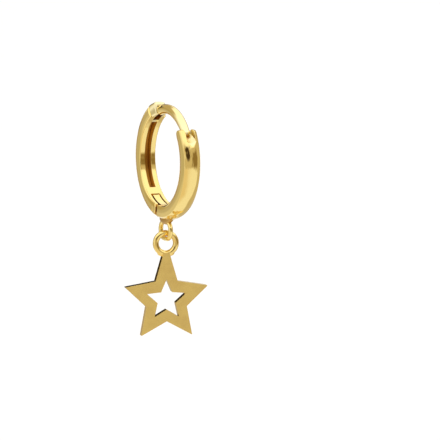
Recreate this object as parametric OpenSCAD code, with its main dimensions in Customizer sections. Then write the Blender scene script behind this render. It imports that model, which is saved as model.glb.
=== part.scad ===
// Hoop earring with a hinged front half and an open star hanging from it.
// Millimetres. The hoop lies in the YZ plane with its front towards -Y, and +Z is up.
// The origin is the highest point of the ear post's centre line, where the ear carries it.
// Angles round the hoop start straight down and grow towards the back, so the front has negative ones.

/* [Hoop] */
// Outer diameter of the hoop
hoop_d = 12; // [11:0.5:16]
// Width of the band along the hoop's axis
band_w = 1.86; // [1.7:0.02:2.4]
// Thickness of the band at the crest of its dome
band_t = 1.4; // [1.3:0.05:1.6]
// Height of the domed outer face above the flat sides
dome_h = 0.34; // [0.2:0.02:0.45]

/* [Back half] */
// Angle from the bottom of the hoop, over the back, to the top end of the back half
post_end_angle = 163.5; // [155:0.5:167]
// Width of the channel in the inner side
channel_w = 0.72; // [0.5:0.02:0.9]
// Depth of the channel
channel_depth = 0.85; // [0.5:0.05:0.95]
// Length of the solid metal between the hinge slot and the channel
channel_foot = 0.96; // [0.6:0.02:1.2]
// Distance from the channel's top end to the cross bar's far side
pocket_length = 2.13; // [1.8:0.01:2.4]
// Thickness of the cross bar that divides the channel
bar_t = 0.35; // [0.25:0.05:0.6]
// Depth of the cross bar's top below the inner face
bar_recess = 0.15; // [0.05:0.05:0.3]
// Solid metal between the channel and the top end, where the ear post is soldered in
end_wall = 0.25; // [0.2:0.05:0.5]
// Length of the flat-topped block at the top end
block_l = 1.05; // [0.8:0.05:1.4]
// Width of that block
block_w = 1.66; // [1.5:0.02:1.8]
// Depth of its top below the crest of the band
block_drop = 0.1; // [0.05:0.01:0.2]

/* [Ear post] */
// Diameter of the ear post's wire
post_d = 0.95; // [0.8:0.05:1]
// Distance from the hoop's outer face in to the centre of the wire
post_inset = 1; // [0.9:0.05:1.1]
// Length of the wire that lies in the catch notch, tip included
post_engage = 0.33; // [0.2:0.01:0.34]
// Amount that polishing takes off the diameter of the wire's tip
tip_polish = 0.04; // [0.02:0.01:0.08]

/* [Front half] */
// Angle from the bottom of the hoop, over the front, to the tip of the catch end
catch_end_angle = 127.5; // [120:0.5:131]
// Radius of the rounded catch end, a little over half the band's thickness
catch_round = 0.75; // [0.72:0.01:0.8]
// Gap between the wire and the walls of the catch notch
catch_gap = 0.05; // [0.03:0.01:0.1]
// Slope of the notch's floor against the band
catch_slope = 40; // [36:1:44]
// Distance from the catch end to the middle of the notch's floor
catch_floor = 1.05; // [1:0.01:1.2]

/* [Hinge] */
// Angle from the bottom of the hoop to the hinge pin
pin_angle = 20; // [18:1:28]
// Diameter of the hinge pin
pin_d = 0.6; // [0.4:0.05:0.7]
// Radial gap between the pin and the tongue's bore
pin_gap = 0.03; // [0.02:0.01:0.05]
// Width of the tongue
tongue_w = 0.72; // [0.6:0.02:0.9]
// Distance from the pin's centre to the rounded end of the tongue
tongue_r = 1.5; // [1.4:0.02:1.6]
// Radius of the rounded cheeks about the pin
cheek_r = 0.85; // [0.82:0.01:1]
// Gap between the faces of the hinge
hinge_gap = 0.08; // [0.04:0.01:0.1]

/* [Eyelet] */
// Angle from the bottom of the hoop to the middle of the eyelet
eyelet_angle = 4; // [0:0.5:4]
// Diameter of the eyelet's wire
eyelet_wire = 0.46; // [0.4:0.02:0.52]
// Radius of the eyelet's bends at the centre of the wire
eyelet_bend = 0.86; // [0.8:0.02:0.92]
// Length of the straight wire between the bends
eyelet_flat = 0.55; // [0.3:0.05:0.8]
// Height of the soldered saddle between the band and the eyelet's hole
saddle_h = 0.44; // [0.4:0.02:0.6]
// Thickness of the saddle along the hoop's axis
saddle_t = 0.56; // [0.5:0.02:0.7]
// Reach of the saddle's flare beyond the eyelet, towards the front
saddle_flare = 0.5; // [0.3:0.05:0.8]
// Height of the saddle's lower edge above the middle of the eyelet's hole
saddle_foot = 0.4; // [0.2:0.05:0.5]

/* [Star] */
// Distance from the star's centre to its tips
star_r = 4.4; // [3.6:0.1:5]
// Distance from the star's centre to its concave corners
star_waist_r = 2.15; // [1.95:0.05:2.3]
// Distance from the centre to the tips of the cut-out
cutout_r = 2.08; // [1.7:0.02:2.1]
// Distance from the centre to the corners that point into the cut-out
cutout_waist_r = 0.96; // [0.8:0.02:1.1]
// Thickness of the star
star_t = 0.85; // [0.6:0.05:1]
// Distance from the star's centre to the centre of its ring
star_drop = 5.65; // [5.3:0.05:6.2]
// Width of the top point at its foot, a little slimmer than the other points
foot_w = 2.24; // [2.1:0.02:2.5]
// Height of that foot above the star's centre
foot_h = 1.88; // [1.8:0.02:1.9]
// Width of the neck where the top point meets the ring
neck_w = 0.64; // [0.5:0.02:0.9]
// Turn of the star about the vertical, away from facing straight forward
star_turn = 14; // [0:1:20]

/* [Star ring] */
// Outer diameter of the star's ring
ring_d = 2.64; // [2.5:0.02:2.8]
// Diameter of the ring's wire
ring_wire = 0.6; // [0.5:0.02:0.62]
// Gap between the ring and the eyelet that carries it
hang_gap = 0.03; // [0.02:0.01:0.05]

/* [Hidden] */
$fn = 96;
points = 5;
gold = "#e3bf62";
dark_gold = "#c9a24b";
// Cutting shapes reach this far beyond what they cut
over = 1;
// Soldered pieces are sunk this far into each other
sink = 0.2;

hoop_r = hoop_d / 2;
inner_r = hoop_r - band_t;
mid_r = hoop_r - band_t / 2;
dome_r = (pow(band_w / 2, 2) + pow(dome_h, 2)) / (2 * dome_h);
post_r = hoop_r - post_inset;

// The pin sits at the middle of the band's thickness
slot_r = tongue_r + hinge_gap;
slot_w = tongue_w + 2 * hinge_gap;

// Places along the channel, as angles
channel_from = pin_angle + along(slot_r + channel_foot, mid_r);
channel_to = post_end_angle - along(end_wall, mid_r);
bar_from = channel_to - along(pocket_length, mid_r);
bar_to = bar_from + along(bar_t, mid_r);
block_from = post_end_angle - along(block_l, mid_r);

// The wire's rounded tip: its centre lies this far along from the catch end
tip_angle = -catch_end_angle + along(post_engage - post_d / 2, post_r);
notch_w = post_d + 2 * catch_gap;
tip_d = post_d - tip_polish;

// The eyelet hangs under the band's crest, and the saddle fills the space above its hole
eyelet_y = hoop_r * sin(eyelet_angle);
eyelet_hole_r = eyelet_bend - eyelet_wire / 2;
eyelet_z = -hoop_r * cos(eyelet_angle) - saddle_h - eyelet_hole_r;
eyelet_half_w = eyelet_flat / 2 + eyelet_bend + eyelet_wire / 2;
perch_z = eyelet_z - eyelet_bend;

// The ring rests on the eyelet's lowest wire
ring_mid_r = (ring_d - ring_wire) / 2;
ring_z = perch_z + eyelet_wire / 2 + hang_gap + ring_wire / 2 - ring_mid_r;
star_z = ring_z - star_drop;
neck_z = star_drop - ring_d / 2 + sink;

// The angle that an arc of this length takes at this radius
function along(length, r) = length / r * 180 / PI;

// A star's corner: k counts half steps round from the top
function corner(k, r) = [r * sin(k * 180 / points), r * cos(k * 180 / points)];

// Moves a shape from the hoop's centre to its place below the origin
module at_hoop() {
    translate([0, 0, -post_r]) children();
}

// Sweeps a profile of [radius, along the axis] round the hoop
module swept(from, to) {
    rotate([0, 90, 0])
        rotate_extrude(angle = to - from, start = from) children();
}

// Places shapes at an angle round the hoop: +Y runs along the band, -Z points outwards
module at_angle(angle, r) {
    rotate([angle, 0, 0]) translate([0, 0, -r]) children();
}

// The band's section: flat sides and inner face, domed outer face
module band_section() {
    intersection() {
        translate([inner_r, -band_w / 2]) square([band_t, band_w]);
        translate([hoop_r - dome_r, 0]) circle(r = dome_r);
    }
}

// A round shape across the middle of the band's thickness
module round_across(angle, r, w) {
    at_angle(angle, mid_r)
        rotate([0, 90, 0]) cylinder(r = r, h = w, center = true);
}

// Everything of the band beyond an angle: side -1 is towards the front, 1 towards the back
module beyond(angle, side) {
    at_angle(angle, mid_r)
        translate([-band_w, side < 0 ? -2 * hoop_r : 0, -band_t])
            cube([2 * band_w, 2 * hoop_r, 2 * band_t]);
}

// What a full round at an angle leaves over of the band's end
module round_off(angle, r, side) {
    difference() {
        beyond(angle, side);
        round_across(angle, r, 2 * band_w);
    }
}

// The groove in the inner side of the back half
module channel(from, to, depth) {
    swept(from, to)
        translate([inner_r - over, -channel_w / 2]) square([over + depth, channel_w]);
}

module ear_post() {
    swept(post_end_angle - along(end_wall / 2, post_r), 360 + tip_angle)
        translate([post_r, 0]) circle(d = post_d);
    at_angle(tip_angle, post_r) sphere(d = tip_d);
}

module post_half() {
    color(gold) at_hoop() {
        difference() {
            union() {
                swept(pin_angle - along(cheek_r + over, mid_r), block_from) band_section();
                swept(block_from - along(sink, mid_r), post_end_angle)
                    translate([inner_r, -block_w / 2]) square([band_t - block_drop, block_w]);
            }
            // The cheeks end in a round face about the pin
            round_off(pin_angle, cheek_r, -1);
            round_across(pin_angle, slot_r, slot_w);
            round_across(pin_angle, pin_d / 2, 2 * band_w);
            channel(channel_from, bar_from, channel_depth);
            channel(bar_to, channel_to, channel_depth);
            channel(channel_to - along(pocket_length + over / 2, mid_r), channel_to, bar_recess);
        }
        ear_post();
    }
}

// The catch notch: a slot whose flat floor rises from the inner face to the outer one
module catch_notch() {
    at_angle(along(catch_floor, mid_r) - catch_end_angle, mid_r)
        rotate([-catch_slope, 0, 0]) translate([-notch_w / 2, -2 * band_t, -2 * band_t])
            cube([notch_w, 4 * band_t, 2 * band_t]);
}

// The rounded slot outline of the eyelet's hole
module eyelet_hole() {
    for (side = [-1, 1])
        translate([side * eyelet_flat / 2, 0]) circle(r = eyelet_hole_r);
    square([eyelet_flat, 2 * eyelet_hole_r], center = true);
}

module eyelet() {
    translate([0, eyelet_y, eyelet_z]) {
        // Two bends and the straight wires between them
        for (side = [-1, 1])
            translate([0, side * eyelet_flat / 2, 0])
                rotate([0, 90, 0]) rotate_extrude(angle = 180, start = side < 0 ? 180 : 0)
                    translate([eyelet_bend, 0]) circle(d = eyelet_wire);
        for (side = [-1, 1])
            translate([0, 0, side * eyelet_bend])
                rotate([90, 0, 0]) cylinder(d = eyelet_wire, h = eyelet_flat, center = true);
        // The soldered saddle, in the hoop's plane
        rotate([90, 0, 90]) linear_extrude(saddle_t, center = true)
            difference() {
                polygon([[-eyelet_half_w - saddle_flare, eyelet_hole_r + saddle_h + sink / 2],
                         [-eyelet_bend - eyelet_flat / 2, saddle_foot],
                         [eyelet_bend + eyelet_flat / 2, saddle_foot],
                         [eyelet_half_w, eyelet_hole_r + saddle_h + sink / 2]]);
                eyelet_hole();
            }
    }
}

module front_half() {
    color(gold) at_hoop() {
        difference() {
            swept(-catch_end_angle, pin_angle + along(tongue_r + over, mid_r)) band_section();
            // Room for the cheeks on both sides of the tongue
            for (side = [-1, 1])
                translate([side * (tongue_w / 2 + band_w), 0, 0]) {
                    round_across(pin_angle, cheek_r + hinge_gap, 2 * band_w);
                    beyond(pin_angle, 1);
                }
            // The tongue ends in a round face about the pin, and so does the catch end about its own middle
            round_off(pin_angle, tongue_r, 1);
            round_off(along(catch_round, mid_r) - catch_end_angle, catch_round, -1);
            round_across(pin_angle, pin_d / 2 + pin_gap, 2 * band_w);
            catch_notch();
        }
        eyelet();
    }
}

module hinge_pin() {
    color(dark_gold) at_hoop() round_across(pin_angle, pin_d / 2, band_w);
}

// The star's outline: its top point runs up into a neck under the ring
module star_outline() {
    polygon(concat(
        [[-foot_w / 2, foot_h], [-neck_w / 2, neck_z], [neck_w / 2, neck_z], [foot_w / 2, foot_h]],
        [for (k = [2 : 2 * points - 2]) corner(k, k % 2 == 0 ? star_r : star_waist_r)]));
}

module star_cutout() {
    polygon([for (k = [0 : 2 * points - 1]) corner(k, k % 2 == 0 ? cutout_r : cutout_waist_r)]);
}

module star_charm() {
    color(gold) at_hoop() translate([0, eyelet_y, star_z]) rotate([90, 0, -star_turn]) {
        linear_extrude(star_t, center = true) difference() {
            star_outline();
            star_cutout();
        }
        translate([0, star_drop, 0])
            rotate_extrude() translate([ring_mid_r, 0]) circle(d = ring_wire);
    }
}

post_half();
front_half();
hinge_pin();
star_charm();
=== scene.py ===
"""Hinged hoop earring with an open star: its finished surfaces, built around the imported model."""

import math
from types import SimpleNamespace

import bmesh
import bpy
from bpy.props import FloatProperty, FloatVectorProperty, PointerProperty
from mathutils import Matrix, Vector


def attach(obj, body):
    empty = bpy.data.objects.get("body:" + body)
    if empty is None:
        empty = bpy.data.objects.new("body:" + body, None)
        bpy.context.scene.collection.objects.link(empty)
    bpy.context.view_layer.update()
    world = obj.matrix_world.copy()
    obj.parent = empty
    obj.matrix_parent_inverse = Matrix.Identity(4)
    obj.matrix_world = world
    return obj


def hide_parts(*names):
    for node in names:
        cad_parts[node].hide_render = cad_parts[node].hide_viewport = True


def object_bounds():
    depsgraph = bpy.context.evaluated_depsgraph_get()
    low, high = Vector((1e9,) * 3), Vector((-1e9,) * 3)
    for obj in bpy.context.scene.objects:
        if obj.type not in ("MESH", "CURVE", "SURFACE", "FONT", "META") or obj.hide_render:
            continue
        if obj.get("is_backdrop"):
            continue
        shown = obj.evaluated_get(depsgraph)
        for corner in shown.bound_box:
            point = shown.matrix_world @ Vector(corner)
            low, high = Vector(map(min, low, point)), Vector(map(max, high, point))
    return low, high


bl_info = {
    "name": "Hinged hoop earring",
    "version": (1, 0, 0),
    "blender": (4, 5, 0),
    "location": "3D View > Sidebar > Earring",
    "description": "Builds the polished surfaces of a hinged hoop earring with an open star",
    "category": "Object",
}

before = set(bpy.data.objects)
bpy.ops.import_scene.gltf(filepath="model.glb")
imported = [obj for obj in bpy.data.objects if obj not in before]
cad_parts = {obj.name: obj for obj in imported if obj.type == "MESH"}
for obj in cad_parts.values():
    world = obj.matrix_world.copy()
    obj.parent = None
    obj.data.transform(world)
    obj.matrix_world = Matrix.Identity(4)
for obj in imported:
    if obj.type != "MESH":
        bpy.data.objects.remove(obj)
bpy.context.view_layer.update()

# Pieces are modelled in millimetres and made metres at the end
MM = 0.001
X_AXIS = Vector((1, 0, 0))
FULL_TURN = 2 * math.pi
# How far a cutting form reaches past the metal, and how near counts as touching
SPARE = 1
NEAR = 1e-3
# Share of a rounded edge that is left out of the painted shade, so that it stays bright
UNSHADED_EDGE = 0.8


def length(name, description, millimetres):
    """A length that a user would change."""
    return FloatProperty(name=name, description=description, default=millimetres * MM,
                         min=0, precision=5, unit="LENGTH")


def angle(name, description, degrees):
    """An angle that a user would change."""
    return FloatProperty(name=name, description=description, default=math.radians(degrees),
                         subtype="ANGLE")


def share(name, description, value, top=1.0):
    """A plain number from nothing to a top value."""
    return FloatProperty(name=name, description=description, default=value, min=0, max=top,
                         subtype="FACTOR")


def colour(name, description, value):
    """A colour, in linear light."""
    return FloatVectorProperty(name=name, description=description, default=value, subtype="COLOR",
                               size=3, min=0, max=1)


class HoopSizes(bpy.types.PropertyGroup):
    """The band that both halves are made from."""

    diameter: length("Diameter", "Outer diameter of the hoop", 12)
    width: length("Width", "Width of the band along the hoop's axis", 1.86)
    thickness: length("Thickness", "Thickness of the band at its crest", 1.4)
    dome: length("Dome", "Height of the domed outer face above the flat sides", 0.34)
    rounding: length("Rounding", "Radius of the polished edges", 0.13)
    bulge: length("Bulge", "How far the flat sides swell in the middle", 0.08)
    back_end: angle("Back end", "From the bottom, over the back, to the top end", 163.5)
    block_length: length("Block length", "Length of the flat-topped block at the top end", 1.05)
    block_width: length("Block width", "Width of that block", 1.66)
    block_drop: length("Block drop", "Depth of its top below the crest of the band", 0.1)
    block_rounding: length("Block rounding", "Radius of the block's worn edges", 0.19)
    block_lean: length("Block lean", "How much lower its top is on the right than on the left", 0.12)
    block_taper: length("Block taper", "How much the block narrows to its end, on each side", 0.27)
    front_end: angle("Front end", "From the bottom, over the front, to the catch end", 127.5)
    front_round: length("Front round", "Radius of the rounded catch end", 0.75)


class ChannelSizes(bpy.types.PropertyGroup):
    """The groove in the inner side of the back half."""

    width: length("Width", "Width of the channel", 0.72)
    depth: length("Depth", "Depth of the channel", 0.85)
    foot: length("Foot", "Solid metal between the hinge slot and the channel", 0.96)
    pocket: length("Pocket", "From the channel's top end to the far side of the cross bar", 2.13)
    bar: length("Cross bar", "Thickness of the cross bar", 0.35)
    recess: length("Recess", "Depth of the cross bar below the inner face", 0.15)
    end_wall: length("End wall", "Solid metal between the channel and the top end", 0.25)
    rounding: length("Rounding", "Radius of the channel's edges", 0.04)


class HingeSizes(bpy.types.PropertyGroup):
    """The knuckle that joins the halves."""

    place: angle("Place", "From the bottom of the hoop to the pin", 20)
    pin: length("Pin", "Diameter of the pin", 0.6)
    tongue_width: length("Tongue width", "Width of the tongue", 0.72)
    tongue_radius: length("Tongue radius", "From the pin to the rounded end of the tongue", 1.5)
    cheek_radius: length("Cheek radius", "Radius of the cheeks about the pin", 0.85)
    gap: length("Gap", "Gap between the faces of the hinge", 0.17)
    seam: length("Seam", "Gap between the cheeks and the shoulders of the front half", 0.45)
    rounding: length("Rounding", "Radius of the edges along the hinge's gaps", 0.06)


class WireSizes(bpy.types.PropertyGroup):
    """The ear wire and the notch that catches it."""

    diameter: length("Diameter", "Diameter of the wire", 0.95)
    inset: length("Inset", "From the hoop's outer face to the centre of the wire", 1)
    engaged: length("Engaged", "Length of wire in the notch, tip included", 0.68)
    tip: length("Tip", "Length of the wire's rounded tip", 0.4)
    taper: angle("Taper", "How far from its tip the wire starts to grow slimmer", 35)
    # How far from its tip the painted highlight reaches along the wire
    highlight_reach: angle("Pale reach", "How far from its tip the wire is paler", 60)
    slimmer: share("Slimmer", "Share of its thickness that the wire loses at its tip", 0.13)
    sprung: length("Sprung", "How far the tip stands out from the wire's circle", 0.08)
    notch_gap: length("Notch gap", "Gap between the wire and the notch's walls", 0.05)
    notch_slope: angle("Notch slope", "Slope of the notch's floor against the band", 40)
    notch_floor: length("Notch floor", "From the catch end to the middle of the floor", 0.95)
    notch_bow: length("Notch bow", "How much lower the middle of the floor lies", 0.25)
    notch_edge: length("Notch edge", "Radius in which the floor levels off at the band", 0.9)


class EyeletSizes(bpy.types.PropertyGroup):
    """The eyelet that is soldered under the hoop."""

    place: angle("Place", "From the bottom of the hoop to the eyelet", 4)
    wire: length("Wire", "Diameter of the eyelet's wire", 0.46)
    bend: length("Bend", "Radius of the bends at the centre of the wire", 0.86)
    flat: length("Flat", "Straight wire between the bends", 0.55)
    saddle: length("Saddle", "Solder between the band and the eyelet's hole", 0.44)
    saddle_thickness: length("Saddle thickness", "Thickness of the solder", 0.56)
    saddle_flare: length("Saddle flare", "Reach of the solder beyond the eyelet", 0.5)


class StarSizes(bpy.types.PropertyGroup):
    """The open star."""

    radius: length("Radius", "From the centre to the tips", 4.4)
    waist: length("Waist", "From the centre to the concave corners", 2.15)
    hole_radius: length("Hole radius", "From the centre to the tips of the cut-out", 2.08)
    hole_waist: length("Hole waist", "From the centre to the corners into the cut-out", 0.96)
    thickness: length("Thickness", "Thickness of the star", 0.85)
    drop: length("Drop", "From the star's centre to the centre of its ring", 5.65)
    foot_width: length("Foot width", "Width of the top point at its foot", 2.24)
    foot_height: length("Foot height", "Height of that foot above the centre", 1.88)
    neck: length("Neck", "Width of the neck under the ring", 0.64)
    rounding: length("Rounding", "Radius of the polished edges", 0.035)
    tip_rounding: length("Tip rounding", "Radius of the blunted tips", 0.08)
    turn: angle("Turn", "Turn about the vertical, away from straight forward", 14)


class RingSizes(bpy.types.PropertyGroup):
    """The ring on the star's top point."""

    diameter: length("Diameter", "Outer diameter of the ring", 2.64)
    wire: length("Wire", "Diameter of the ring's wire", 0.6)
    gap: length("Gap", "Gap between the ring and the eyelet's wire", 0.03)


class GoldFinish(bpy.types.PropertyGroup):
    """The colours of the metal, with its painted shade and painted highlight, and its roughness."""

    gold: colour("Gold", "Colour of the polished metal", (0.93, 0.72, 0.27))
    # Painted shade: a brown for the channel, the pocket, the hinge's gaps, the wire's root and tip
    # end and the eyelet's solder, where shade falls
    painted_shade: colour("Deep gold", "Colour where polishing doesn't reach", (0.5, 0.25, 0.045))
    # Painted highlight: a paler gold for the brighter reflections on the end block, the cross bar,
    # the wire's tip and the notch
    painted_highlight: colour("Pale gold", "Colour of the end block, the wire's tip and its notch",
                 (0.96, 0.83, 0.46))
    polish: share("Polish", "Roughness of the polished metal", 0.07)
    satin: share("Satin", "Roughness of the star's face", 0.2)


class StageLook(bpy.types.PropertyGroup):
    """The floor, the light and the view."""

    floor_drop: length("Floor drop", "From the star's lowest tips to the floor", 30)
    distance: length("Distance", "From the camera to the hoop's centre", 300)
    azimuth: angle("Azimuth", "Turn of the camera round the hoop", -25.44)
    elevation: angle("Elevation", "Height of the camera above the horizon", 5.07)
    aim_right: length("Aim right", "How far right of the hoop's centre the view is aimed", 5.19)
    aim_down: length("Aim down", "How far below the hoop's centre the view is aimed", 6)
    lens: FloatProperty(name="Lens", description="Focal length, in millimetres on the sensor",
                        default=248, min=20, unit="CAMERA")


SIZE_GROUPS = {"hoop": HoopSizes, "channel": ChannelSizes, "hinge": HingeSizes,
               "wire": WireSizes, "eyelet": EyeletSizes, "star": StarSizes, "ring": RingSizes}
GROUPS = {**SIZE_GROUPS, "gold": GoldFinish, "stage": StageLook}


def sizes(context):
    """Every size group with its lengths in millimetres, and the places that follow from them."""
    all_sizes = SimpleNamespace()
    for name in SIZE_GROUPS:
        group = getattr(context.scene, "earring_" + name)
        values = {}
        for key, prop in group.bl_rna.properties.items():
            if key not in ("rna_type", "name"):
                values[key] = getattr(group, key) / (MM if prop.unit == "LENGTH" else 1)
        setattr(all_sizes, name, SimpleNamespace(**values))
    hoop, hinge, wire = all_sizes.hoop, all_sizes.hinge, all_sizes.wire
    eyelet, ring, star = all_sizes.eyelet, all_sizes.ring, all_sizes.star
    hoop.radius = hoop.diameter / 2
    hoop.inner = hoop.radius - hoop.thickness
    hoop.middle = hoop.radius - hoop.thickness / 2
    hoop.dome_radius = ((hoop.width / 2) ** 2 + hoop.dome ** 2) / (2 * hoop.dome)
    wire.ring = hoop.radius - wire.inset
    hoop.centre = Vector((0, 0, -wire.ring))
    hinge.along = hinge.place * hoop.middle
    wire.tip_angle = (wire.engaged - wire.tip) / wire.ring - hoop.front_end
    wire.notch_half = wire.diameter / 2 + wire.notch_gap
    wire.notch_middle = Vector((wire.notch_floor - hoop.front_end * hoop.middle, hoop.middle))
    eyelet.hole = eyelet.bend - eyelet.wire / 2
    eyelet.centre = Vector((0, hoop.radius * math.sin(eyelet.place),
                            -hoop.radius * math.cos(eyelet.place) - eyelet.saddle - eyelet.hole))
    eyelet.centre += hoop.centre
    ring.middle = (ring.diameter - ring.wire) / 2
    perch = eyelet.centre.z - eyelet.bend + eyelet.wire / 2 + ring.gap
    ring.centre = Vector((0, eyelet.centre.y, perch + ring.wire / 2 - ring.middle))
    star.centre = ring.centre - Vector((0, 0, star.drop))
    return all_sizes


def tidy(bm):
    """Merges doubles and turns every face outwards."""
    bmesh.ops.remove_doubles(bm, verts=bm.verts, dist=1e-4)
    bmesh.ops.recalc_face_normals(bm, faces=bm.faces)


def finish_piece(bm, name, body, material, replaced):
    """Makes a finished object, in metres, that rides on a body and stands for a node."""
    tidy(bm)
    bmesh.ops.scale(bm, vec=(MM, MM, MM), verts=bm.verts)
    mesh = bpy.data.meshes.new(name)
    bm.to_mesh(mesh)
    bm.free()
    mesh.polygons.foreach_set("use_smooth", [True] * len(mesh.polygons))
    mesh.materials.append(material)
    piece = bpy.data.objects.new(name, mesh)
    bpy.context.scene.collection.objects.link(piece)
    weights = piece.modifiers.new("Even shading", "WEIGHTED_NORMAL")
    weights.weight = 100
    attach(piece, body)
    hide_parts(replaced)
    return piece


def prism(outline, low, high):
    """A slab between two places across the band, from an outline of (along, height) points."""
    bm = bmesh.new()
    face = bm.faces.new([bm.verts.new((low, along, height)) for along, height in outline])
    made = bmesh.ops.extrude_face_region(bm, geom=[face])
    corners = [v for v in made["geom"] if isinstance(v, bmesh.types.BMVert)]
    bmesh.ops.translate(bm, vec=(high - low, 0, 0), verts=corners)
    bmesh.ops.recalc_face_normals(bm, faces=bm.faces)
    return bm


def block(low, high):
    """A plain box between two corners."""
    bm = bmesh.new()
    bmesh.ops.create_cube(bm, size=1)
    low, high = Vector(low), Vector(high)
    bmesh.ops.scale(bm, vec=high - low, verts=bm.verts)
    bmesh.ops.translate(bm, vec=(low + high) / 2, verts=bm.verts)
    return bm


def combine(body, tool, operation="DIFFERENCE"):
    """Cuts one form from another, or joins them. Both are used up."""
    objects = []
    for bm in (body, tool):
        mesh = bpy.data.meshes.new("form")
        bm.to_mesh(mesh)
        bm.free()
        form = bpy.data.objects.new("form", mesh)
        bpy.context.scene.collection.objects.link(form)
        objects.append(form)
    cut = objects[0].modifiers.new("Cut", "BOOLEAN")
    cut.operation = operation
    cut.solver = "EXACT"
    cut.object = objects[1]
    evaluated = objects[0].evaluated_get(bpy.context.evaluated_depsgraph_get())
    result = bmesh.new()
    result.from_mesh(evaluated.to_mesh())
    evaluated.to_mesh_clear()
    for form in objects:
        bpy.data.meshes.remove(form.data)
    bmesh.ops.remove_doubles(result, verts=result.verts, dist=1e-5)
    if not result.faces:
        raise RuntimeError("a cut left nothing over")
    return result


def long_edges(edge):
    """Tells whether an edge lies along a side of the straight band, not across it."""
    first, last = (v.co.x for v in edge.verts)
    return abs(first - last) < NEAR


def round_edges(bm, radius, segments=3, sharper_than=38, chosen=None):
    """Rounds the edges that turn by more than an angle in degrees, or the chosen among them."""
    limit = math.radians(sharper_than)
    edges = [e for e in bm.edges if len(e.link_faces) == 2 and e.calc_face_angle(0) > limit]
    if chosen:
        edges = [e for e in edges if chosen(e)]
    bmesh.ops.bevel(bm, geom=edges, offset=radius, offset_type="OFFSET", segments=segments,
                    profile=0.5, affect="EDGES", material=-1, clamp_overlap=True)


def slices(bm, axis, places):
    """Adds edges where planes across an axis cut the surface."""
    normal = Vector([float(k == axis) for k in range(3)])
    for place in places:
        bmesh.ops.bisect_plane(bm, geom=bm.verts[:] + bm.edges[:] + bm.faces[:], dist=1e-5,
                               plane_co=normal * place, plane_no=normal)


def steps(low, high, largest):
    """Even places between two values, no further apart than the largest step."""
    count = max(1, math.ceil((high - low) / largest))
    return [low + (high - low) * k / count for k in range(count + 1)]


def heights(hoop, beyond=0.0, count=12):
    """Heights from the inner to the outer face, closer together near the faces."""
    half = hoop.thickness / 2 + beyond
    return [hoop.middle - half * math.cos(math.pi * k / count) for k in range(count + 1)]


def round_end(hoop, along, radius, side, beyond=0.0):
    """Points of a round about a place in the band, on its front (-1) or back (1) side."""
    points = []
    for height in heights(hoop, beyond):
        cosine = (height ** 2 + hoop.middle ** 2 - radius ** 2) / (2 * height * hoop.middle)
        reach = math.acos(max(-1, min(1, cosine))) * hoop.middle
        points.append((along + side * reach, height))
    return points


def domed(hoop, across):
    """How far the domed outer face lies below its crest."""
    return hoop.dome_radius - math.sqrt(hoop.dome_radius ** 2 - across ** 2)


def leaning(hoop, across):
    """How far the end block's top is lowered by its lean."""
    return hoop.block_lean * max(0, across) / hoop.block_width * 2


def bend_to_hoop(bm, hoop, lowered=domed, fine=0.12, fine_turn=math.radians(1.6)):
    """Bends a straight band (across, along, height) round the hoop and lowers its outer face."""
    slices(bm, 0, steps(-hoop.width / 2, hoop.width / 2, fine))
    slices(bm, 2, steps(hoop.inner, hoop.radius, fine))
    reach = [v.co.y for v in bm.verts]
    slices(bm, 1, steps(min(reach), max(reach), fine_turn * hoop.middle))
    for v in bm.verts:
        across, along, height = v.co
        lift = (height - hoop.inner) * (1 - lowered(hoop, across) / hoop.thickness)
        turn = along / hoop.middle
        radius = hoop.inner + lift
        from_middle = 2 * (height - hoop.middle) / hoop.thickness
        across *= 1 - 2 * hoop.bulge / hoop.width * from_middle ** 2
        v.co = hoop.centre + Vector((across, radius * math.sin(turn), -radius * math.cos(turn)))


def cut_channel(bm, all_sizes, painted_highlight=0.0):
    """Cuts the channel, its pocket and the cross bar's recess, and marks where shade and highlights
    are painted.
    """
    hoop, hinge, channel = all_sizes.hoop, all_sizes.hinge, all_sizes.channel
    start = hinge.along + hinge.tongue_radius + hinge.gap + channel.foot
    end = hoop.back_end * hoop.middle
    stop = end + SPARE
    bar_low = end - channel.end_wall - channel.pocket
    bar_high = bar_low + channel.bar
    recess_low = bar_low - 1.5 * channel.bar
    wide = channel.width / 2
    for low, high, depth in ((start, bar_low, channel.depth), (bar_high, stop, channel.depth),
                             (recess_low, stop, channel.recess)):
        tool = block((-wide, low, hoop.inner - SPARE), (wide, high, hoop.inner + depth))
        bm = combine(bm, tool)
    foot = start - 0.1
    round_edges(bm, hinge.rounding, chosen=lambda e: max(v.co.y for v in e.verts) < foot)
    round_edges(bm, channel.rounding, chosen=lambda e: min(v.co.y for v in e.verts) > foot)
    bar_margin = 0.05
    bar_face = hoop.inner + 1.3 * channel.recess
    end_face = end - 0.02
    # Painted shade, nearly full, on the inner half of the band's end, where shade falls under the
    # wire's root
    end_shade = 0.9

    def on_bar(across, along, height):
        near = bar_low - bar_margin < along < bar_high + bar_margin and abs(across) < wide + NEAR
        return near and height < bar_face

    def in_channel(across, along, height):
        inside = abs(across) < wide + NEAR and along > foot
        edge = hoop.inner + UNSHADED_EDGE * channel.rounding
        below = edge < height < hoop.inner + channel.depth + NEAR
        beside = abs(across) < hoop.width / 2 - UNSHADED_EDGE * hinge.rounding
        in_gap = along < hinge.along and beside
        if along > end_face and height < hoop.middle:
            return end_shade
        if on_bar(across, along, height):
            return False
        return inside and below or in_gap and off_faces(height, hoop, hinge)

    # Painted shade in the channel, the pocket and the hinge's gaps, but not on the cross bar or the
    # edges' rounds
    mark(bm, "painted_shade", in_channel)
    # Painted highlight on the cross bar, and over all of the end block
    mark(bm, "painted_highlight", lambda *place: max(painted_highlight, on_bar(*place)))
    return bm


def off_faces(height, hoop, hinge):
    """Tells whether a height lies clear of the band's inner and outer faces."""
    edge = UNSHADED_EDGE * hinge.rounding
    return hoop.inner + edge < height < hoop.radius - edge


def mark(bm, name, test):
    """Gives every vertex what a test says of its place, for the material to read."""
    layer = bm.verts.layers.float.new(name)
    for v in bm.verts:
        v[layer] = float(test(*v.co))


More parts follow.
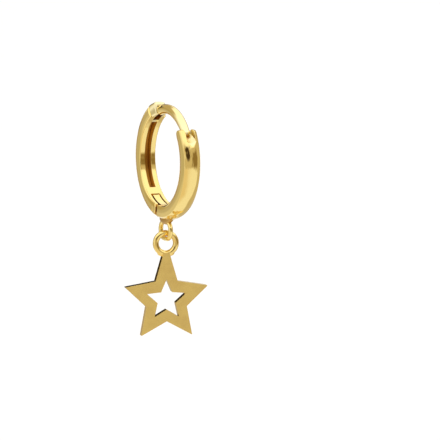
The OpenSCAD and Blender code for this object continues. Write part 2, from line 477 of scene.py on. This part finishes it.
def back_band(all_sizes):
    """The back half of the band: cheeks and slot at the hinge, and the long channel."""
    hoop, hinge = all_sizes.hoop, all_sizes.hinge
    end = hoop.back_end * hoop.middle - hoop.block_length
    outline = round_end(hoop, hinge.along, hinge.cheek_radius, -1)
    outline += [(end, hoop.radius), (end, hoop.inner)]
    bm = prism(outline, -hoop.width / 2, hoop.width / 2)
    round_edges(bm, hoop.rounding, segments=4, chosen=long_edges)
    slot_half = hinge.tongue_width / 2 + hinge.gap
    slot = round_end(hoop, hinge.along, hinge.tongue_radius + hinge.gap, 1, beyond=0.3)
    front = hinge.along - 3 * hinge.cheek_radius
    slot += [(front, slot[-1][1]), (front, slot[0][1])]
    bm = cut_channel(combine(bm, prism(slot, -slot_half, slot_half)), all_sizes)
    bend_to_hoop(bm, hoop)
    return bm


def end_block(all_sizes):
    """The flat-topped block at the top end, where the ear wire is soldered in."""
    hoop = all_sizes.hoop
    end = hoop.back_end * hoop.middle
    half = hoop.block_width / 2
    overlap = 0.15
    bm = block((-half, end - hoop.block_length - overlap, hoop.inner),
               (half, end, hoop.radius - hoop.block_drop))
    for v in bm.verts:
        if v.co.y > end - NEAR:
            v.co.x *= 1 - hoop.block_taper / half
    round_edges(bm, hoop.block_rounding, segments=5)
    bm = cut_channel(bm, all_sizes, painted_highlight=1.0)
    bend_to_hoop(bm, hoop, leaning)
    return bm


def notch_tool(all_sizes, last=math.radians(1), count=8):
    """The space above the notch's floor, which is bowed and levels off at the outer face."""
    hoop, wire = all_sizes.hoop, all_sizes.wire
    slope, edge, half = wire.notch_slope, wire.notch_edge, wire.notch_half
    # Just above the face, so that the floor cuts through it at an angle
    top = hoop.radius + 0.01
    bottom = hoop.inner - SPARE
    roof = top + SPARE

    def floor(height):
        return wire.notch_middle.x + (height - hoop.middle) / math.tan(slope)

    outline = [(floor(bottom), bottom)]
    start = top - edge * (math.cos(last) - math.cos(slope))
    for k in range(count + 1):
        turn = slope + (last - slope) * k / count
        along = floor(start) + edge * (math.sin(slope) - math.sin(turn))
        outline.append((along, start + edge * (math.cos(turn) - math.cos(slope))))
    outline += [(outline[-1][0], roof), (outline[0][0], roof)]
    bm = prism(outline, -half, half)
    slices(bm, 0, [half * k / count for k in range(1 - count, count)])
    for v in bm.verts:
        if v.co.z < roof - NEAR:
            v.co.z += wire.notch_bow * (v.co.x / half) ** 2
    return bm


def front_band(all_sizes):
    """The front half of the band: rounded catch end with its notch, and the hinge's tongue."""
    hoop, hinge = all_sizes.hoop, all_sizes.hinge
    half = hoop.width / 2
    cheek = hinge.cheek_radius + hinge.seam
    catch = hoop.front_round - hoop.front_end * hoop.middle
    outline = round_end(hoop, hinge.along, cheek, -1)
    outline += reversed(round_end(hoop, catch, hoop.front_round, -1))
    bm = prism(outline, -half, half)
    round_edges(bm, hoop.rounding, segments=4, chosen=long_edges)
    tongue = round_end(hoop, hinge.along, hinge.tongue_radius, 1)
    root = hinge.along - cheek - SPARE
    tongue += [(root, hoop.radius), (root, hoop.inner)]
    bm = combine(bm, prism(tongue, -hinge.tongue_width / 2, hinge.tongue_width / 2), "UNION")
    flats = [e for e in bm.edges if len(e.link_faces) == 2 and e.calc_face_angle(1) < 1e-3]
    bmesh.ops.dissolve_edges(bm, edges=flats, use_verts=True)
    bm = combine(bm, notch_tool(all_sizes))
    round_edges(bm, hinge.rounding)
    wire = all_sizes.wire
    shoulder = hinge.along - cheek - 0.02
    near_catch = shoulder - 3
    slope = Vector((math.cos(wire.notch_slope), math.sin(wire.notch_slope)))
    # How far the floor falls below its slope where the marks end, and what counts as floor
    drop, floor_only = 0.16, 0.05

    def in_gap(across, along, height):
        beside = hinge.tongue_width / 2 - NEAR < abs(across) < half - UNSHADED_EDGE * hinge.rounding
        return along > shoulder and beside and off_faces(height, hoop, hinge)

    def in_notch(across, along, height):
        lift = wire.notch_bow * (across / wire.notch_half) ** 2
        above = slope.cross(Vector((along, height - lift)) - wire.notch_middle)
        inside = abs(across) < wire.notch_half + NEAR and along < near_catch
        at_face = height > hoop.radius - NEAR and above < floor_only
        return inside * (not at_face) * max(0, min(1, 1 + above / drop))

    def in_satin(*place, strength=2.5):
        return strength * in_notch(*place)

    # Painted shade in the gaps beside the tongue
    mark(bm, "painted_shade", in_gap)
    mark(bm, "satin", in_satin)
    # Painted highlight: paler gold over the notch's floor and walls, fading out where the floor
    # meets the band
    mark(bm, "painted_highlight", in_notch)
    bend_to_hoop(bm, hoop)
    return bm


def section(radius, centre, matrix=None, segments=32):
    """A mesh that starts as the round section of a wire."""
    bm = bmesh.new()
    bmesh.ops.create_circle(bm, radius=radius, segments=segments)
    if matrix:
        bmesh.ops.rotate(bm, matrix=matrix, verts=bm.verts)
    bmesh.ops.translate(bm, vec=centre, verts=bm.verts)
    return bm


def sweep(bm, edges, centre, axis, turn, step=math.radians(2.5)):
    """Sweeps a section round an axis and returns its last edges."""
    made = bmesh.ops.spin(bm, geom=edges, cent=centre, axis=axis, angle=turn,
                          steps=max(1, round(abs(turn) / step)), use_duplicate=False)
    return [g for g in made["geom_last"] if isinstance(g, bmesh.types.BMEdge)]


def push(bm, edges, offset):
    """Extrudes a section straight on and returns its last edges."""
    made = bmesh.ops.extrude_edge_only(bm, edges=edges)["geom"]
    verts = [g for g in made if isinstance(g, bmesh.types.BMVert)]
    bmesh.ops.translate(bm, vec=offset, verts=verts)
    return [g for g in made if isinstance(g, bmesh.types.BMEdge)
            and all(v in verts for v in g.verts)]


def round_tip(bm, edges, centre, direction, reach, count=8):
    """Closes a wire with a rounded tip of a certain length."""
    for k in range(1, count):
        before, after = (math.pi / 2 * j / count for j in (k - 1, k))
        edges = push(bm, edges, direction * reach * (math.sin(after) - math.sin(before)))
        verts = list({v for e in edges for v in e.verts})
        space = Matrix.Translation(-(centre + direction * reach * math.sin(after)))
        ratio = math.cos(after) / math.cos(before)
        bmesh.ops.scale(bm, vec=(ratio, ratio, ratio), space=space, verts=verts)
    bmesh.ops.edgeloop_fill(bm, edges=edges)


def ear_wire(all_sizes):
    """The ear wire, from its root in the end block to its rounded tip in the notch."""
    hoop, wire = all_sizes.hoop, all_sizes.wire
    sunk = 0.8 * all_sizes.channel.end_wall
    root = hoop.back_end - sunk / hoop.middle
    start = hoop.centre + wire.ring * Vector((0, math.sin(root), -math.cos(root)))
    bm = section(wire.diameter / 2, start, Matrix.Rotation(root - math.pi / 2, 3, "X"))
    bmesh.ops.edgeloop_fill(bm, edges=bm.edges[:])
    tip = FULL_TURN + wire.tip_angle
    last = sweep(bm, bm.edges[:], hoop.centre, X_AXIS, tip - root)
    centre = hoop.centre + wire.ring * Vector((0, math.sin(tip), -math.cos(tip)))
    direction = Vector((0, math.cos(tip), math.sin(tip)))
    round_tip(bm, last, centre, direction, wire.tip)
    # Painted highlight fading in towards the tip; painted shade where the wire runs into the end
    # block, and at the very end of its tip
    painted_highlight = bm.verts.layers.float.new("painted_highlight")
    painted_shade = bm.verts.layers.float.new("painted_shade")
    shaded_tip = 0.55 * wire.tip
    for v in bm.verts:
        place = v.co - hoop.centre
        turn = min(math.atan2(place.y, -place.z) % FULL_TURN, tip)
        centre = wire.ring * Vector((0, math.sin(turn), -math.cos(turn)))
        near_tip = max(0, 1 - (tip - turn) / wire.taper) ** 2
        offset = (place - centre) * (1 - wire.slimmer * near_tip)
        beyond = direction.dot(offset) if turn == tip else 0
        v[painted_highlight] = max(0, 1 - (tip - turn) / wire.highlight_reach)
        v[painted_shade] = float(turn < hoop.back_end or beyond > shaded_tip)
        v.co = hoop.centre + centre * (1 + wire.sprung * near_tip / wire.ring) + offset
    return bm


def hinge_pin(all_sizes):
    """The hinge pin, with its ends polished nearly flush and slightly rounded."""
    hoop, hinge = all_sizes.hoop, all_sizes.hinge
    proud, worn_edge = 0.01, 0.03
    bm = bmesh.new()
    bmesh.ops.create_cone(bm, cap_ends=True, segments=48, radius1=hinge.pin / 2,
                          radius2=hinge.pin / 2, depth=hoop.width + 2 * proud)
    round_edges(bm, worn_edge)
    bmesh.ops.rotate(bm, matrix=Matrix.Rotation(math.pi / 2, 3, "Y"), verts=bm.verts)
    place = Vector((0, math.sin(hinge.place), -math.cos(hinge.place))) * hoop.middle
    bmesh.ops.translate(bm, vec=hoop.centre + place, verts=bm.verts)
    return bm


def eyelet_loop(all_sizes):
    """The eyelet: an oval loop of round wire in the hoop's plane."""
    eyelet = all_sizes.eyelet
    step = math.radians(6)
    bends = [eyelet.centre + Vector((0, side * eyelet.flat / 2, 0)) for side in (-1, 1)]
    start = bends[1] - Vector((0, 0, eyelet.bend))
    bm = section(eyelet.wire / 2, start, Matrix.Rotation(math.pi / 2, 3, "X"))
    first = bm.edges[:]
    last = sweep(bm, first, bends[1], X_AXIS, math.pi, step)
    last = push(bm, last, (0, -eyelet.flat, 0))
    last = sweep(bm, last, bends[0], X_AXIS, math.pi, step)
    bmesh.ops.bridge_loops(bm, edges=first + last)
    return bm


def saddle(all_sizes):
    """The solder that joins the eyelet to the hoop, flared towards the front."""
    eyelet = all_sizes.eyelet
    reach = eyelet.flat / 2 + eyelet.bend + eyelet.wire / 2
    half_size = (0.62 * eyelet.saddle_thickness, 1.02 * reach, 0.5)
    forward, sunk, curl, solder_shade = 0.14, 0.02, 0.42, 0.75
    bm = bmesh.new()
    bmesh.ops.create_uvsphere(bm, u_segments=48, v_segments=32, radius=1)
    bmesh.ops.scale(bm, vec=half_size, verts=bm.verts)
    flare = [v for v in bm.verts if v.co.y < 0]
    bmesh.ops.scale(bm, vec=(1, 1 + eyelet.saddle_flare / reach, 1), verts=flare)
    for v in flare:
        v.co.z += curl * (v.co.y / reach) ** 2
    place = Vector((0, -forward, eyelet.hole + eyelet.saddle - sunk))
    bmesh.ops.translate(bm, vec=eyelet.centre + place, verts=bm.verts)
    # Painted shade: the solder between band and eyelet is three quarters of the way to the shade
    # brown
    mark(bm, "painted_shade", lambda *place: solder_shade)
    return bm


def ring(all_sizes):
    """The ring on the star's top point."""
    ring_sizes, star = all_sizes.ring, all_sizes.star
    middle = Vector((ring_sizes.middle, 0, 0))
    bm = section(ring_sizes.wire / 2, middle, Matrix.Rotation(math.pi / 2, 3, "X"))
    bmesh.ops.spin(bm, geom=bm.edges[:], cent=(0, 0, 0), axis=(0, 0, 1), angle=FULL_TURN,
                   steps=96, use_merge=True, use_duplicate=False)
    hang(bm, ring_sizes.centre, star.turn)
    return bm


def hang(bm, centre, turn):
    """Stands a flat form upright and turns it about the vertical."""
    upright = Matrix.Rotation(-turn, 3, "Z") @ Matrix.Rotation(math.pi / 2, 3, "X")
    bmesh.ops.rotate(bm, matrix=upright, verts=bm.verts)
    bmesh.ops.translate(bm, vec=centre, verts=bm.verts)


def star_loop(bm, tip, waist, points=5):
    """A closed star-shaped loop of edges, from its top tip round."""
    verts = []
    for k in range(2 * points):
        radius = waist if k % 2 else tip
        turn = math.pi * k / points
        verts.append(bm.verts.new((radius * math.sin(turn), radius * math.cos(turn), 0)))
    return verts, [bm.edges.new((a, b)) for a, b in zip(verts, verts[1:] + verts[:1])]


def star_plate(all_sizes):
    """The open star, whose top point runs up into a neck under the ring."""
    star, ring_sizes = all_sizes.star, all_sizes.ring
    bm = bmesh.new()
    outer, outer_edges = star_loop(bm, star.radius, star.waist)
    inner_edges = star_loop(bm, star.hole_radius, star.hole_waist)[1]
    neck_top = star.drop - ring_sizes.diameter / 2 + ring_sizes.wire / 2
    for corner, side in ((outer[1], 1), (outer[-1], -1)):
        corner.co = (side * star.foot_width / 2, star.foot_height, 0)
    slope = (star.foot_width - star.neck) / (neck_top - star.foot_height)
    outer[0].co = (0, neck_top + star.neck / slope, 0)
    bmesh.ops.bridge_loops(bm, edges=outer_edges + inner_edges)
    bmesh.ops.bisect_plane(bm, geom=bm.verts[:] + bm.edges[:] + bm.faces[:],
                           plane_co=(0, neck_top, 0), plane_no=(0, 1, 0), clear_outer=True)
    made = bmesh.ops.extrude_face_region(bm, geom=bm.faces[:])
    corners = [v for v in made["geom"] if isinstance(v, bmesh.types.BMVert)]
    bmesh.ops.translate(bm, vec=(0, 0, star.thickness), verts=corners)
    bmesh.ops.translate(bm, vec=(0, 0, -star.thickness / 2), verts=bm.verts)
    bmesh.ops.recalc_face_normals(bm, faces=bm.faces)
    near_tips = 0.9 * star.radius

    def on_tip(edge):
        return all(v.co.xy.length > near_tips and v.co.y < star.foot_height for v in edge.verts)

    round_edges(bm, star.tip_rounding, segments=4, sharper_than=25, chosen=on_tip)
    round_edges(bm, star.rounding, segments=4, sharper_than=30)
    mark(bm, "satin", lambda right, up, out: abs(out) > star.thickness / 2 - NEAR)
    hang(bm, star.centre, star.turn)
    return bm


def neck_solder(all_sizes):
    """The solder between the star's neck and its ring."""
    star, ring_sizes = all_sizes.star, all_sizes.ring
    half_size = (0.86, 0.32, 0.29)
    lowered = 0.02
    bm = bmesh.new()
    bmesh.ops.create_uvsphere(bm, u_segments=40, v_segments=24, radius=1)
    bmesh.ops.scale(bm, vec=half_size, verts=bm.verts)
    bmesh.ops.translate(bm, vec=(0, -ring_sizes.middle - lowered, 0), verts=bm.verts)
    hang(bm, ring_sizes.centre, star.turn)
    return bm


class Signal:
    """A shader value, for writing shader maths as plain sums."""

    def __init__(self, shader, socket):
        self.shader, self.socket = shader, socket

    def _math(self, operation, *values):
        """Adds one Math node."""
        return self.shader.node("ShaderNodeMath", {"operation": operation},
                                {k: value for k, value in enumerate(values)})

    def __add__(self, other):
        return self._math("ADD", self, other)

    def __sub__(self, other):
        return self._math("SUBTRACT", self, other)

    def __rsub__(self, other):
        return self._math("SUBTRACT", other, self)

    def __mul__(self, other):
        return self._math("MULTIPLY", self, other)

    __radd__ = __add__
    __rmul__ = __mul__


class Shader:
    """Makes nodes in one node tree."""

    def __init__(self, tree):
        self.tree = tree
        tree.nodes.clear()

    def node(self, kind, settings=None, inputs=None, output=0):
        """Makes a node, with its settings first and its inputs as values or links."""
        made = self.tree.nodes.new(kind)
        for name, value in (settings or {}).items():
            setattr(made, name, value)
        for name, value in (inputs or {}).items():
            if isinstance(value, Signal):
                self.tree.links.new(value.socket, made.inputs[name])
            else:
                made.inputs[name].default_value = value
        return Signal(self, made.outputs[output]) if made.outputs else None


# The metal's unevenness, in cells to the metre: clouds in its tone, waves and grain in its surface
CLOUDS, WAVES, GRAIN = 900, 380, 9000
GRAIN_SHARE = 0.02
WAVE_HEIGHT, WAVE_STRENGTH = 0.00004, 0.25
# How clouds change the tone and the roughness, and how rough the metal is where shade is painted
CLEAR_BELOW, CLOUD_ROUGHNESS, LEAST_ROUGHNESS, SHADE_ROUGHNESS = 0.35, 0.8, 0.6, 0.35


def gold(name, finish, mottle, wobble):
    """Slightly uneven gold, with marks for where it is satin, where a paler highlight is painted and
    where brown shade is painted.
    """
    material = bpy.data.materials.new(name)
    material.use_nodes = True
    shader = Shader(material.node_tree)
    place = shader.node("ShaderNodeTexCoord", output="Object")

    def noise(cells, detail):
        return shader.node("ShaderNodeTexNoise", None,
                           {"Vector": place, "Scale": cells, "Detail": detail})

    def marked(mark_name):
        return shader.node("ShaderNodeAttribute", {"attribute_name": mark_name}, output="Fac")

    def mixed(share_of_second, first, second):
        return shader.node("ShaderNodeMix", {"data_type": "RGBA"},
                           {"Factor": share_of_second, "A": first, "B": second}, output=2)

    cloud, wave, grain = noise(CLOUDS, 3), noise(WAVES, 1), noise(GRAIN, 2)
    painted_shade, satin, painted_highlight = marked("painted_shade"), marked("satin"), marked("painted_highlight")
    # Painted shade: brown wherever shade is marked, shifted at random by clouds
    tint = mixed(painted_shade + (cloud - CLEAR_BELOW) * mottle, (*finish.gold, 1), (*finish.painted_shade, 1))
    # Painted highlight: paler gold where it is marked, but not where shade is painted
    tint = mixed(painted_highlight * (1 - painted_shade), tint, (*finish.painted_highlight, 1))
    height = wave * wobble + grain * (wobble * GRAIN_SHARE)
    bump = shader.node("ShaderNodeBump", None,
                       {"Height": height, "Strength": WAVE_STRENGTH, "Distance": WAVE_HEIGHT})
    roughness = finish.polish + satin * (finish.satin - finish.polish)
    roughness = roughness * (cloud * CLOUD_ROUGHNESS + LEAST_ROUGHNESS) + painted_shade * SHADE_ROUGHNESS
    surface = shader.node("ShaderNodeBsdfPrincipled", None,
                          {"Base Color": tint, "Metallic": 1.0, "Roughness": roughness,
                           "Normal": bump})
    shader.node("ShaderNodeOutputMaterial", None, {"Surface": surface})
    return material


def plain_white(name, brightness, roughness=0.8):
    """The matt white of the floor."""
    material = bpy.data.materials.new(name)
    material.use_nodes = True
    shader = Shader(material.node_tree)
    surface = shader.node("ShaderNodeBsdfPrincipled", None,
                          {"Base Color": (brightness, brightness, brightness, 1),
                           "Roughness": roughness})
    shader.node("ShaderNodeOutputMaterial", None, {"Surface": surface})
    return material


def polished(context):
    """The polished gold that hoop, hinge and eyelet share."""
    name = "Polished gold"
    return bpy.data.materials.get(name) or gold(name, context.scene.earring_gold,
                                                mottle=0.06, wobble=1.0)


def brushed(context):
    """The gold of the star, with a cloudier face."""
    name = "Star gold"
    return bpy.data.materials.get(name) or gold(name, context.scene.earring_gold,
                                                mottle=0.6, wobble=1.2)


class PieceOperator:
    """What the operators of the pieces share."""

    bl_options = {"REGISTER", "UNDO"}

    def execute(self, context):
        all_sizes = sizes(context)
        for name, build in self.pieces.items():
            finish_piece(build(all_sizes), name, self.body,
                         self.material(context), self.replaced)
        return {"FINISHED"}


class EARRING_OT_back_half(PieceOperator, bpy.types.Operator):
    """Builds the back half of the hoop with its ear wire"""

    bl_idname = "earring.back_half"
    bl_label = "Back half"
    pieces = {"back_band": back_band, "end_block": end_block, "ear_wire": ear_wire}
    body, slot, replaced = "back", "polished_gold", "post_half"
    material = staticmethod(polished)


class EARRING_OT_front_half(PieceOperator, bpy.types.Operator):
    """Builds the front half of the hoop with its eyelet"""

    bl_idname = "earring.front_half"
    bl_label = "Front half"
    pieces = {"front_band": front_band, "eyelet": eyelet_loop, "eyelet_solder": saddle}
    body, slot, replaced = "front", "polished_gold", "front_half"
    material = staticmethod(polished)


class EARRING_OT_hinge_pin(PieceOperator, bpy.types.Operator):
    """Builds the hinge pin"""

    bl_idname = "earring.hinge_pin"
    bl_label = "Hinge pin"
    pieces = {"pin": hinge_pin}
    body, slot, replaced = "back", "polished_gold", "hinge_pin"
    material = staticmethod(polished)


class EARRING_OT_star(PieceOperator, bpy.types.Operator):
    """Builds the open star with its ring"""

    bl_idname = "earring.star"
    bl_label = "Star"
    pieces = {"star": star_plate, "star_ring": ring, "star_solder": neck_solder}
    body, slot, replaced = "charm", "star_gold", "star_charm"
    material = staticmethod(brushed)


class EARRING_OT_stage(bpy.types.Operator):
    """Makes the floor, the soft light and the camera"""

    bl_idname = "earring.stage"
    bl_label = "Stage"
    bl_options = {"REGISTER", "UNDO"}

    def execute(self, context):
        look = context.scene.earring_stage
        make_floor(look)
        make_light(context.scene)
        make_camera(context.scene, look, sizes(context).hoop.centre * MM)
        context.scene.view_settings.view_transform = "Standard"
        return {"FINISHED"}


def make_floor(look, radius=3, brightness=0.98):
    """A plain white floor, well below the hanging star."""
    bm = bmesh.new()
    bmesh.ops.create_circle(bm, cap_ends=True, radius=radius, segments=96)
    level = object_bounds()[0].z - look.floor_drop
    bmesh.ops.translate(bm, vec=(0, 0, level), verts=bm.verts)
    mesh = bpy.data.meshes.new("floor")
    bm.to_mesh(mesh)
    bm.free()
    mesh.materials.append(plain_white("Floor white", brightness))
    floor = bpy.data.objects.new("floor", mesh)
    bpy.context.scene.collection.objects.link(floor)
    # The metal mirrors the tent's lower half instead
    floor.visible_glossy = False
    floor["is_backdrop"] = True


# What the metal mirrors of the white tent's walls, later patches over earlier ones: a colour,
# the side that turns are counted from, the turns between which the patch lies, in degrees to
# the right, and its lowest and highest place, as the upward part of a direction. Where two
# more numbers follow, they are the softness of its ends and how many times softer its sides are.
PATCHES = {
    "warm wall on the right": ((0.62, 0.55, 0.42), "front", (78, 150), (-0.9, 0.4)),
    "warm floor on the left": ((0.86, 0.75, 0.58), "front", (-100, -22), (-0.9, -0.2), 0.06, 9),
    "warm band in front": ((0.66, 0.58, 0.44), "front", (-60, 85), (-0.22, 0.41)),
    "brown beside the camera": ((0.28, 0.2, 0.09), "front", (12, 63), (-0.18, 0.25), 0.05, 3),
    "camera": ((0.07, 0.045, 0.02), "front", (-41, -12), (0.03, 0.43)),
    "cream behind, low": ((0.74, 0.7, 0.6), "rear", (-75, 0), (-0.5, 0.02)),
    "grey behind, low": ((0.58, 0.54, 0.44), "rear", (-60, -4), (-0.17, 0.0)),
    "olive behind, low": ((0.5, 0.42, 0.3), "rear", (-19, 40), (-0.3, 0.02)),
    "olive above the strip": ((0.55, 0.46, 0.28), "rear", (-50, 24), (0.33, 0.75), 0.08),
    "olive left of the strip": ((0.5, 0.42, 0.24), "rear", (-42, -18), (-0.02, 0.36)),
    "olive right of the strip": ((0.5, 0.42, 0.24), "rear", (23.4, 75), (0.05, 0.33), 0.02),
    "foot of the strip": ((0.05, 0.035, 0.015), "rear", (-6, 10), (-0.03, 0.09), 0.012),
    "dark strip": ((0.04, 0.03, 0.015), "rear", (-20, 23.4), (0.07, 0.33), 0.012),
}
TENT, TENT_ROOF = (1.0, 1.0, 1.0), (1.3, 1.3, 1.3)
ROOF_EDGE, ROOF_SOFTNESS = 0.45, 0.1
# Noise that makes the patches in front uneven: its cells, and how far it moves their edges
SWAY_CELLS, SWAY_UP, SWAY_ROUND = 5, 0.25, 0.9


def make_light(scene):
    """A white tent as a world: the metal mirrors its patches, and the camera sees it plain."""
    world = bpy.data.worlds.new("Soft tent")
    world.use_nodes = True
    scene.world = world
    shader = Shader(world.node_tree)
    direction = shader.node("ShaderNodeTexCoord", output="Generated")
    across, depth, height = (shader.node("ShaderNodeSeparateXYZ", None, {"Vector": direction},
                                         output=axis) for axis in "XYZ")
    forward = depth * -1

    def turn_from(ahead):
        return shader.node("ShaderNodeMath", {"operation": "ARCTAN2"}, {0: across, 1: ahead})

    def rise(value, place, soft):
        return shader.node("ShaderNodeMapRange", {"interpolation_type": "SMOOTHSTEP"},
                           {"Value": value, "From Min": place - soft, "From Max": place + soft})

    def patch(turn, turns, levels, soft=0.05, sides=2):
        left, right = (math.radians(degrees) for degrees in turns)
        low, high = levels
        wide = rise(turn, left, soft * sides) * (1 - rise(turn, right, soft * sides))
        return wide * rise(height, low, soft) * (1 - rise(height, high, soft))

    def shade(tone_so_far, value, where):
        return shader.node("ShaderNodeMix", {"data_type": "RGBA"},
                           {"Factor": where, "A": tone_so_far, "B": (*value, 1)}, output=2)

    cloud = shader.node("ShaderNodeTexNoise", None,
                        {"Vector": direction, "Scale": SWAY_CELLS, "Detail": 2})
    sway = (cloud - 0.5) * rise(forward, 0.2, 0.2)
    height += sway * SWAY_UP
    turned = {"front": turn_from(forward) + sway * SWAY_ROUND, "rear": turn_from(depth)}
    tone = shade((*TENT, 1), TENT_ROOF, rise(height, ROOF_EDGE, ROOF_SOFTNESS))
    for value, side, turns, levels, *softness in PATCHES.values():
        tone = shade(tone, value, patch(turned[side], turns, levels, *softness))
    seen = shader.node("ShaderNodeBackground", None, {"Color": (*TENT, 1), "Strength": 1.0})
    lit = shader.node("ShaderNodeBackground", None, {"Color": tone, "Strength": 1.0})
    path = shader.node("ShaderNodeLightPath", output="Is Camera Ray")
    mixed = shader.node("ShaderNodeMixShader", None, {0: path, 1: lit, 2: seen})
    shader.node("ShaderNodeOutputWorld", None, {"Surface": mixed})


def make_camera(scene, look, target):
    """The camera at the photograph's angle, aimed beside and below the hoop."""
    back = Vector((math.sin(look.azimuth) * math.cos(look.elevation),
                   -math.cos(look.azimuth) * math.cos(look.elevation), math.sin(look.elevation)))
    right = Vector((math.cos(look.azimuth), math.sin(look.azimuth), 0))
    up = back.cross(right)
    data = bpy.data.cameras.new("camera")
    data.lens, data.sensor_width = look.lens, 36
    data.clip_start, data.clip_end = 0.01, 20
    camera = bpy.data.objects.new("camera", data)
    scene.collection.objects.link(camera)
    camera.location = target + back * look.distance
    aim = target + right * look.aim_right - up * look.aim_down
    camera.rotation_euler = (aim - camera.location).to_track_quat("-Z", "Y").to_euler()
    scene.camera = camera


class EARRING_PT_panel(bpy.types.Panel):
    """Lists the pieces and their sizes."""

    bl_label = "Earring"
    bl_idname = "EARRING_PT_panel"
    bl_space_type = "VIEW_3D"
    bl_region_type = "UI"
    bl_category = "Earring"

    def draw(self, context):
        for operator in OPERATORS:
            self.layout.operator(operator.bl_idname)
        for name in GROUPS:
            group = getattr(context.scene, "earring_" + name)
            box = self.layout.box()
            box.label(text=name.capitalize())
            for key in group.bl_rna.properties.keys():
                if key not in ("rna_type", "name"):
                    box.prop(group, key)


OPERATORS = (EARRING_OT_back_half, EARRING_OT_front_half, EARRING_OT_hinge_pin, EARRING_OT_star,
             EARRING_OT_stage)
CLASSES = (*GROUPS.values(), *OPERATORS, EARRING_PT_panel)


def register():
    """Registers the classes and the sizes that they read."""
    for item in CLASSES:
        bpy.utils.register_class(item)
    for name, group in GROUPS.items():
        setattr(bpy.types.Scene, "earring_" + name, PointerProperty(type=group))


def unregister():
    """Takes the classes and the sizes away again."""
    for name in GROUPS:
        delattr(bpy.types.Scene, "earring_" + name)
    for item in reversed(CLASSES):
        bpy.utils.unregister_class(item)


def main():
    """Builds the whole earring and its stage."""
    register()
    bpy.ops.earring.back_half()
    bpy.ops.earring.front_half()
    bpy.ops.earring.hinge_pin()
    bpy.ops.earring.star()
    bpy.ops.earring.stage()


if __name__ == "__main__":
    main()
